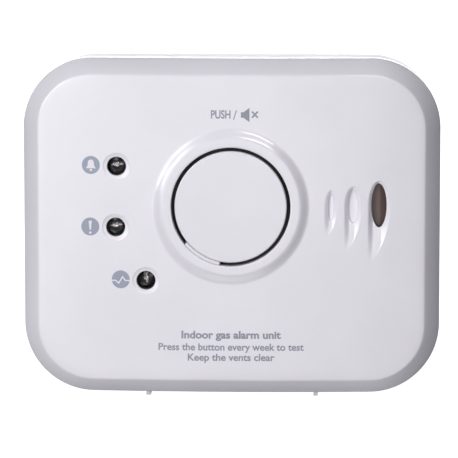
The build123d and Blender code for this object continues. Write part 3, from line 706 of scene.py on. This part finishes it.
WHITE = linear(231, 228, 236)
MATERIALS = {
    "cover": moulded("cover_white", WHITE),
    "button": moulded("button_white", shade(WHITE, 0.985)),
    "rear": moulded("rear_white", shade(WHITE, 0.96), (0.38, 0.46), 1500.0, 0.00002),
    "gap": moulded("gap_black", (0.008, 0.007, 0.007), (0.7, 0.8)),
    "black": moulded("black_plastic", (0.012, 0.012, 0.013), (0.35, 0.5)),
    "grey": moulded("grey_plastic", (0.12, 0.12, 0.13), (0.35, 0.5)),
    "chip": moulded("chip_black", (0.02, 0.02, 0.021), (0.45, 0.6), 3000.0),
    "tan": moulded("capacitor_tan", (0.42, 0.28, 0.15), (0.35, 0.5), 2500.0),
    "ceramic": moulded("ceramic", (0.72, 0.69, 0.6), (0.4, 0.55), 2600.0),
    "foam": moulded("foam", (0.02, 0.02, 0.02), (0.8, 0.95), 1600.0, 0.0002, 0.3),
    "label": moulded("label", (0.62, 0.62, 0.63), (0.3, 0.4), 900.0),
    "ink": moulded("ink_blue_grey", linear(148, 155, 175), (0.35, 0.45), 2600.0, 0.000004),
    "symbol": moulded("ink_white", shade(WHITE, 0.97), (0.35, 0.45), 2600.0, 0.000004),
    "text": moulded("ink_grey", linear(139, 142, 156), (0.35, 0.45), 2600.0, 0.000004),
    "steel": metal("plated_steel", (0.66, 0.66, 0.64)),
    "lead": metal("lamp_lead", (0.45, 0.42, 0.43), (0.35, 0.5)),
    "die": moulded("lamp_chip", linear(240, 212, 208), (0.3, 0.45), 6000.0),
    "brass": metal("brass", (0.72, 0.5, 0.2), (0.25, 0.4), (400.0, 400.0, 400.0)),
    "board": board("board_green"),
    "sensor": sensor_brown("sensor_brown"),
    "lens": clear_lens("lens_clear"),
}

NODE_LOOKS = {
    "rear": ("rear_case", "battery_door", "wall_bracket"),
    "button": ("test_button", "button_hinge_frame"),
    "black": ("led_sleeves", "tact_switch_body"),
    "gap": ("sounder_housing", "button_dust_ring"),
    "grey": ("tact_switch_plunger",),
    "chip": ("microcontroller", "electrolytic_capacitors", "inductor", "chip_resistors"),
    "tan": ("chip_capacitors",),
    "ceramic": ("piezo_ceramic",),
    "foam": ("sounder_gasket", "sensor_gasket"),
    "label": ("rating_label",),
    "brass": ("piezo_plate",),
    "board": ("main_pcb",),
    "sensor": ("co_sensor_body",),
    "steel": (
        "case_screws",
        "piezo_contact_springs",
        "tact_switch_cover",
        "co_sensor_cap",
        "co_sensor_pins",
        "battery_spring_contacts",
        "battery_plate_contacts",
        "contact_link",
    ),
}


def dress(node, material):
    """Gives a CAD node its material."""
    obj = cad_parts[node]
    obj.data.materials.clear()
    obj.data.materials.append(material)


def dress_nodes():
    for look, names in NODE_LOOKS.items():
        for name in names:
            dress(name, MATERIALS[look])
    dress("battery_cell_upper", cell_sleeve("cell_upper", "battery_cell_upper", -1))
    dress("battery_cell_lower", cell_sleeve("cell_lower", "battery_cell_lower", 1))


# ---- lamps ---------------------------------------------------------------------------------------
def turned_piece(name, cx, cz, profile, material, body, count=64, **more):
    """A closed turned piece square to the wall. Its profile is radius and depth, from front to back."""
    skin = Skin()
    rings = [skin.ring(circle(cx, cz, r, count), d) for r, d in profile if r > 0]
    skin.chain(rings)
    for ring, (radius, depth) in ((rings[0], profile[0]), (rings[-1], profile[-1])):
        skin.points.append((cx, cz, depth))
        hub = len(skin.points) - 1
        for i in range(count):
            skin.faces.append((hub, ring[i], ring[(i + 1) % count]))
    return make_piece(name, skin.points, skin.faces, material, body, **more)


def lamp_lens(node, cx, cz):
    """The clear body of one lamp: dome, barrel and flange."""
    top = front_depth(node)
    low = -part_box(node)[1].y / MM
    radius = LAMP_R
    profile = [(0, top)]
    for turn in range(8, 91, 8):
        a = math.radians(turn)
        profile.append((radius * math.sin(a), top - radius + radius * math.cos(a)))
    profile += [(radius, low + 1.05), (radius + 0.35, low + 1.0), (radius + 0.4, low + 0.9)]
    profile += [(radius + 0.4, low + 0.1), (radius + 0.3, low), (0, low)]
    lens = turned_piece(node + "_lens", cx, cz, profile, MATERIALS["lens"], "alarm", sharp_deg=40)
    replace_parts(lens, node)


def box_part(skin, place, turn, u, v, depth):
    """Adds a box, given in a lamp's own directions, to a skin."""
    cx, cz = place
    ring = []
    for a, b in ((u[0], v[0]), (u[1], v[0]), (u[1], v[1]), (u[0], v[1])):
        x = cx + a * math.cos(turn) - b * math.sin(turn)
        z = cz + a * math.sin(turn) + b * math.cos(turn)
        ring.append((x, z))
    back, front = skin.ring(ring, depth[0]), skin.ring(ring, depth[1])
    skin.join(back, front)
    skin.faces += [tuple(back), tuple(front)]


def cone_part(skin, place, profile, count=24):
    """Adds a closed turned shape, given as radius and depth, to a skin."""
    rings = [skin.ring(circle(*place, radius, count), depth) for radius, depth in profile]
    skin.chain(rings)
    skin.faces += [tuple(rings[0]), tuple(rings[-1])]


def lamp_insides():
    """Lead frames with their cups and wings, the pale chips in the cups, and the black spacers."""
    leads, chips, spacers = Skin(), Skin(), Skin()
    for node, place in LAMPS.items():
        upright = node == "led_power"
        turn = math.radians(90 if upright else 4)
        reach = 1.15 if upright else 1.75
        box_part(leads, place, turn, (-reach, -0.35), (-0.2, 0.12), (26.6, 27.7))
        box_part(leads, place, turn, (0.45, reach), (-0.12, 0.2), (26.9, 27.8))
        box_part(leads, place, turn, (-1.5, -1.0), (-0.25, 0.25), (22.3, 26.7))
        box_part(leads, place, turn, (1.0, 1.5), (-0.25, 0.25), (22.3, 27.0))
        cone_part(leads, place, [(0.3, 26.9), (0.62, 27.6), (0.62, 28.0), (0.5, 28.0), (0.32, 27.6)])
        cone_part(chips, place, [(0.3, 27.62), (0.56, 27.95), (0.46, 28.25), (0.2, 28.4)])
        box_part(spacers, place, 0.0, (-1.9, 1.9), (-1.9, 1.9), (22.25, 22.85))
        cone_part(spacers, place, [(3.3, 22.25), (3.3, 22.85)], 48)
    lead, die, black = (MATERIALS[key] for key in ("lead", "die", "black"))
    frame_piece = make_piece("lamp_leads", leads.points, leads.faces, lead, "alarm", 30, "plated_steel")
    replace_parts(frame_piece, "led_leadframes")
    make_piece("lamp_chips", chips.points, chips.faces, die, "alarm", 30)
    make_piece("lamp_spacers", spacers.points, spacers.faces, black, "alarm", 30, "black_plastic")


# ---- printed marks --------------------------------------------------------------------------------
INK = 0.03


def drape(obj, name, material, body, lift):
    """Turns a flat outline drawn in x and y into a thin printed layer that follows the face."""
    mesh = bpy.data.meshes.new_from_object(obj)
    bpy.data.objects.remove(obj)
    points = np.empty(len(mesh.vertices) * 3)
    mesh.vertices.foreach_get("co", points)
    points = points.reshape(-1, 3)
    out = surface_depth(points[:, 0], points[:, 1]) + lift + np.where(points[:, 2] > 0, INK, -0.02)
    placed = to_frame(np.stack([points[:, 0], points[:, 1], out], axis=1))
    mesh.vertices.foreach_set("co", placed.ravel())
    mesh.materials.clear()
    mesh.materials.append(material)
    orient(mesh)
    piece = bpy.data.objects.new(name, mesh)
    bpy.context.scene.collection.objects.link(piece)
    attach(piece, body)


def lettering(name, words, x, z, height, material, width, bold):
    """Generic wording in the built-in typeface. Its height is that of a capital, and x and z its middle."""
    curve = bpy.data.curves.new(name + "_curve", "FONT")
    curve.body = words
    curve.align_x = "CENTER"
    curve.align_y = "CENTER"
    curve.size = height / 0.7
    curve.offset = bold
    curve.extrude = 0.5
    curve.resolution_u = 6
    obj = bpy.data.objects.new(name + "_flat", curve)
    bpy.context.scene.collection.objects.link(obj)
    bpy.context.view_layer.update()
    scale = width / obj.dimensions.x
    mesh = bpy.data.meshes.new_from_object(obj)
    bpy.data.objects.remove(obj)
    for v in mesh.vertices:
        v.co.x = x + v.co.x * scale
        v.co.y = z + v.co.y
    flat = bpy.data.objects.new(name + "_flat", mesh)
    bpy.context.scene.collection.objects.link(flat)
    drape(flat, name, material, "alarm", 0.0)


def printed(name, outlines, material, lift=0.0):
    """Closed outlines, each a list of x and z points, as a thin printed layer."""
    curve = bpy.data.curves.new(name + "_curve", "CURVE")
    curve.dimensions = "2D"
    curve.fill_mode = "BOTH"
    curve.extrude = 0.5
    for outline in outlines:
        spline = curve.splines.new("POLY")
        spline.points.add(len(outline) - 1)
        for point, (x, z) in zip(spline.points, outline):
            point.co = (x, z, 0, 1)
        spline.use_cyclic_u = True
    obj = bpy.data.objects.new(name + "_flat", curve)
    bpy.context.scene.collection.objects.link(obj)
    bpy.context.view_layer.update()
    drape(obj, name, material, "alarm", lift)


def stroke(points, width):
    """The outline of a line of that width through points."""
    p = np.array(points, float)
    along = np.gradient(p, axis=0)
    along /= np.linalg.norm(along, axis=1)[:, None]
    side = np.stack([-along[:, 1], along[:, 0]], axis=1) * width / 2
    return np.concatenate([p + side, (p - side)[::-1]]).tolist()


def polyline_stroke(points, width):
    """The outline of a bent line with mitred corners."""
    p = np.array(points, float)
    d = np.diff(p, axis=0)
    d /= np.linalg.norm(d, axis=1)[:, None]
    n = np.stack([-d[:, 1], d[:, 0]], axis=1)
    joint = np.concatenate([n[:1], n[:-1] + n[1:], n[-1:]])
    length = np.square(joint).sum(1)[:, None]
    scale = np.where(length > 3.99, 1.0, 2.0 / length)
    scale[0] = scale[-1] = 1.0
    side = joint * np.minimum(scale, 1.6) * width / 2
    return np.concatenate([p + side, (p - side)[::-1]]).tolist()


BADGE_R = 2.6


def bell(x, z):
    """A plain bell: its dome and flared skirt, and the clapper under it."""
    dome = [(x + 0.85 * math.cos(a), z + 0.75 + 0.85 * math.sin(a)) for a in np.linspace(0, math.pi, 17)]
    skirt = [(x - 0.95, z - 0.2), (x - 1.45, z - 0.95), (x + 1.45, z - 0.95), (x + 0.95, z - 0.2)]
    return [dome + skirt, circle(x, z - 1.42, 0.34, 24).tolist()]


BADGES = {"led_alarm": (-7.35, 0.3), "led_fault": (-7.3, 0.1), "led_power": (-7.25, 0.25)}


def badges():
    """The printed disc beside each lamp, with its symbol in the cover's colour."""
    cover = MATERIALS["symbol"]
    for node, (dx, dz) in BADGES.items():
        x, z = LAMPS[node][0] + dx, LAMPS[node][1] + dz
        printed("badge_" + node, [circle(x, z, BADGE_R, 72).tolist()], MATERIALS["ink"])
        if node == "led_alarm":
            printed("badge_symbol_alarm", bell(x, z), cover, lift=INK)
        elif node == "led_fault":
            bar = [(x - 0.46, z + 1.7), (x - 0.2, z - 0.95), (x + 0.2, z - 0.95), (x + 0.46, z + 1.7)]
            dot = circle(x, z - 1.75, 0.36, 24).tolist()
            printed("badge_symbol_fault", [bar[::-1], dot], cover, lift=INK)
        else:
            steps = [(-2.56, -0.3), (-1.45, -0.3), (-0.6, -1.1), (0.54, 0.8), (1.3, -0.3), (2.56, -0.3)]
            line = polyline_stroke([(x + a, z + b) for a, b in steps], 0.36)
            printed("badge_symbol_power", [line], cover, lift=INK)


def test_mark():
    """A generic word, a slash and a muted loudspeaker over the button."""
    z = BUTTON_Z + 26.4
    ink = MATERIALS["text"]
    lettering("mark_word", "PUSH", -2.85, z, 2.3, ink, width=5.6, bold=0.09)
    slash = stroke([(0.8, z - 1.35), (1.65, z + 1.35)], 0.3)
    lower = [(2.9, -0.8), (3.65, -0.8), (5.35, -2.05)]
    speaker = [(x, z + up) for x, up in lower] + [(x, z - up) for x, up in lower[::-1]]
    printed("mark_slash", [slash], ink)
    printed("mark_mute", [speaker], ink)
    for side, lift in ((1, 0.0), (-1, 0.004)):
        bar = stroke([(6.05, z + 0.1 - 0.9 * side), (7.75, z + 0.1 + 0.9 * side)], 0.5)
        printed("mark_cross_a" if side > 0 else "mark_cross_b", [bar], ink, lift=lift)


def bottom_lines():
    """Three lines of generic wording under the button."""
    ink = MATERIALS["text"]
    lettering("line_1", "Indoor gas alarm unit", 0, -30.9, 2.1, ink, width=28.6, bold=0.11)
    lettering("line_2", "Press the button every week to test", 0, -34.45, 2.0, ink, width=41.8, bold=0.07)
    lettering("line_3", "Keep the vents clear", 0, -37.45, 2.0, ink, width=25.0, bold=0.07)


# ---- stage, light and camera -------------------------------------------------------------------------
def plain_stage():
    """Pale floor under the feet, and a white surround that only the camera sees."""
    floor_z = CAD_BOX[0].z
    bpy.ops.mesh.primitive_circle_add(vertices=96, radius=4.5, fill_type="NGON", location=(0, 0, floor_z))
    floor = bpy.context.object
    floor.name = "floor"
    material, tree, shader, place = nodes_of("floor_pale")
    tint = two_colours(tree, noise(tree, place, 3.0), (0.5, 0.5, 0.5), (0.52, 0.52, 0.52))
    tree.links.new(tint, shader.inputs["Base Color"])
    shader.inputs["Roughness"].default_value = 0.9
    shader.inputs["Specular IOR Level"].default_value = 0.0
    shader.inputs["Emission Color"].default_value = (1, 1, 1, 1)
    shader.inputs["Emission Strength"].default_value = 1.0
    floor.data.materials.append(material)
    bpy.ops.mesh.primitive_uv_sphere_add(segments=64, ring_count=32, radius=5.0, location=(0, 0, 0))
    surround = bpy.context.object
    surround.name = "surround"
    white = bpy.data.materials.new("surround_white")
    white.use_nodes = True
    white.node_tree.nodes.clear()
    glow = white.node_tree.nodes.new("ShaderNodeEmission")
    glow.inputs["Strength"].default_value = 1.0
    output = white.node_tree.nodes.new("ShaderNodeOutputMaterial")
    white.node_tree.links.new(glow.outputs["Emission"], output.inputs["Surface"])
    surround.data.materials.append(white)
    for obj in (floor, surround):
        obj.visible_diffuse = False
        obj.visible_glossy = False
        obj.visible_transmission = False
        obj.visible_shadow = False


# name: direction from the object (x, y, z), distance, width, height and power; the ones named
# spark light only the gloss, for the small highlights
LIGHTS = {
    "front": ((0.0, -1.0, 0.02), 2.0, 0.8, 0.8, 7.0),
    "front_left": ((-0.45, -0.89, 0.05), 1.8, 0.8, 0.8, 11.0),
    "up_left": ((-0.5, -0.75, 0.45), 1.8, 0.8, 0.8, 7.6),
    "top": ((0.0, -0.45, 1.0), 1.5, 1.2, 0.5, 5.6),
    "low": ((0.0, -0.45, -1.0), 1.5, 1.2, 0.5, 4.5),
    "back": ((0.0, 1.0, 0.18), 1.8, 1.6, 0.9, 11.0),
    "back_left": ((-0.55, 0.83, 0.3), 1.6, 0.6, 0.9, 6.0),
    "back_right": ((0.55, 0.83, 0.3), 1.6, 0.6, 0.9, 6.0),
    "spark_left": ((-0.86, -0.46, 0.24), 1.4, 0.3, 0.3, 9.0),
    "spark_up": ((-0.66, -0.57, 0.49), 1.4, 0.3, 0.3, 5.0),
    "spark_near_left": ((-0.33, -0.93, 0.16), 1.8, 0.12, 0.12, 0.6),
    "spark_near_right": ((0.3, -0.93, 0.2), 1.8, 0.12, 0.12, 2.0),
    "spark_top": ((0.3, -0.7, 0.62), 1.6, 0.7, 0.15, 9.0),
}


def studio():
    """Large soft light from the front and upper left, weaker from the other sides."""
    for name, (direction, distance, width, height, power) in LIGHTS.items():
        light = bpy.data.lights.new(name, "AREA")
        light.shape = "RECTANGLE"
        light.size, light.size_y = width, height
        light.energy = power
        away = Vector(direction).normalized()
        obj = bpy.data.objects.new(name, light)
        obj.location = away * distance
        obj.rotation_euler = away.to_track_quat("Z", "Y").to_euler()
        obj.visible_camera = False
        obj.visible_diffuse = not name.startswith("spark")
        bpy.context.scene.collection.objects.link(obj)
    world = bpy.data.worlds.new("studio")
    world.use_nodes = True
    world.node_tree.nodes["Background"].inputs["Color"].default_value = (0.9, 0.92, 1.0, 1)
    world.node_tree.nodes["Background"].inputs["Strength"].default_value = 0.08
    bpy.context.scene.world = world
    bpy.context.scene.view_settings.view_transform = "Standard"


CAMERA_AZIMUTH = 2.0
CAMERA_ELEVATION = 8.0
CAMERA_DISTANCE = 1109.0
CAMERA_LENS = 302.6
SENSOR_WIDTH = 36.0
AIM = (-0.72, -0.98)  # how far right of and above the case's middle the camera aims
AIM_DEPTH = 27


def camera():
    """A long lens, nearly square to the front, a little above and to the right."""
    a, e = math.radians(CAMERA_AZIMUTH), math.radians(CAMERA_ELEVATION)
    back = Vector((math.sin(a) * math.cos(e), -math.cos(a) * math.cos(e), math.sin(e)))
    turn = (-back).to_track_quat("-Z", "Y")
    target = Vector((0, -AIM_DEPTH, 0)) + turn @ Vector((*AIM, 0))
    data = bpy.data.cameras.new("camera")
    data.lens = CAMERA_LENS
    data.sensor_width = SENSOR_WIDTH
    data.clip_end = 20.0
    obj = bpy.data.objects.new("camera", data)
    obj.rotation_mode = "QUATERNION"
    obj.rotation_quaternion = turn
    obj.location = (target + back * CAMERA_DISTANCE) * MM
    bpy.context.scene.collection.objects.link(obj)
    bpy.context.scene.camera = obj


# ---- the scene -----------------------------------------------------------------------------------
camera()
dress_nodes()
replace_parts(front_cover(MATERIALS["cover"]), "front_cover")
bridge_lips()
for lamp, (lamp_x, lamp_z) in LAMPS.items():
    lamp_lens(lamp, lamp_x, lamp_z)
lamp_insides()
badges()
test_mark()
bottom_lines()
plain_stage()
studio()
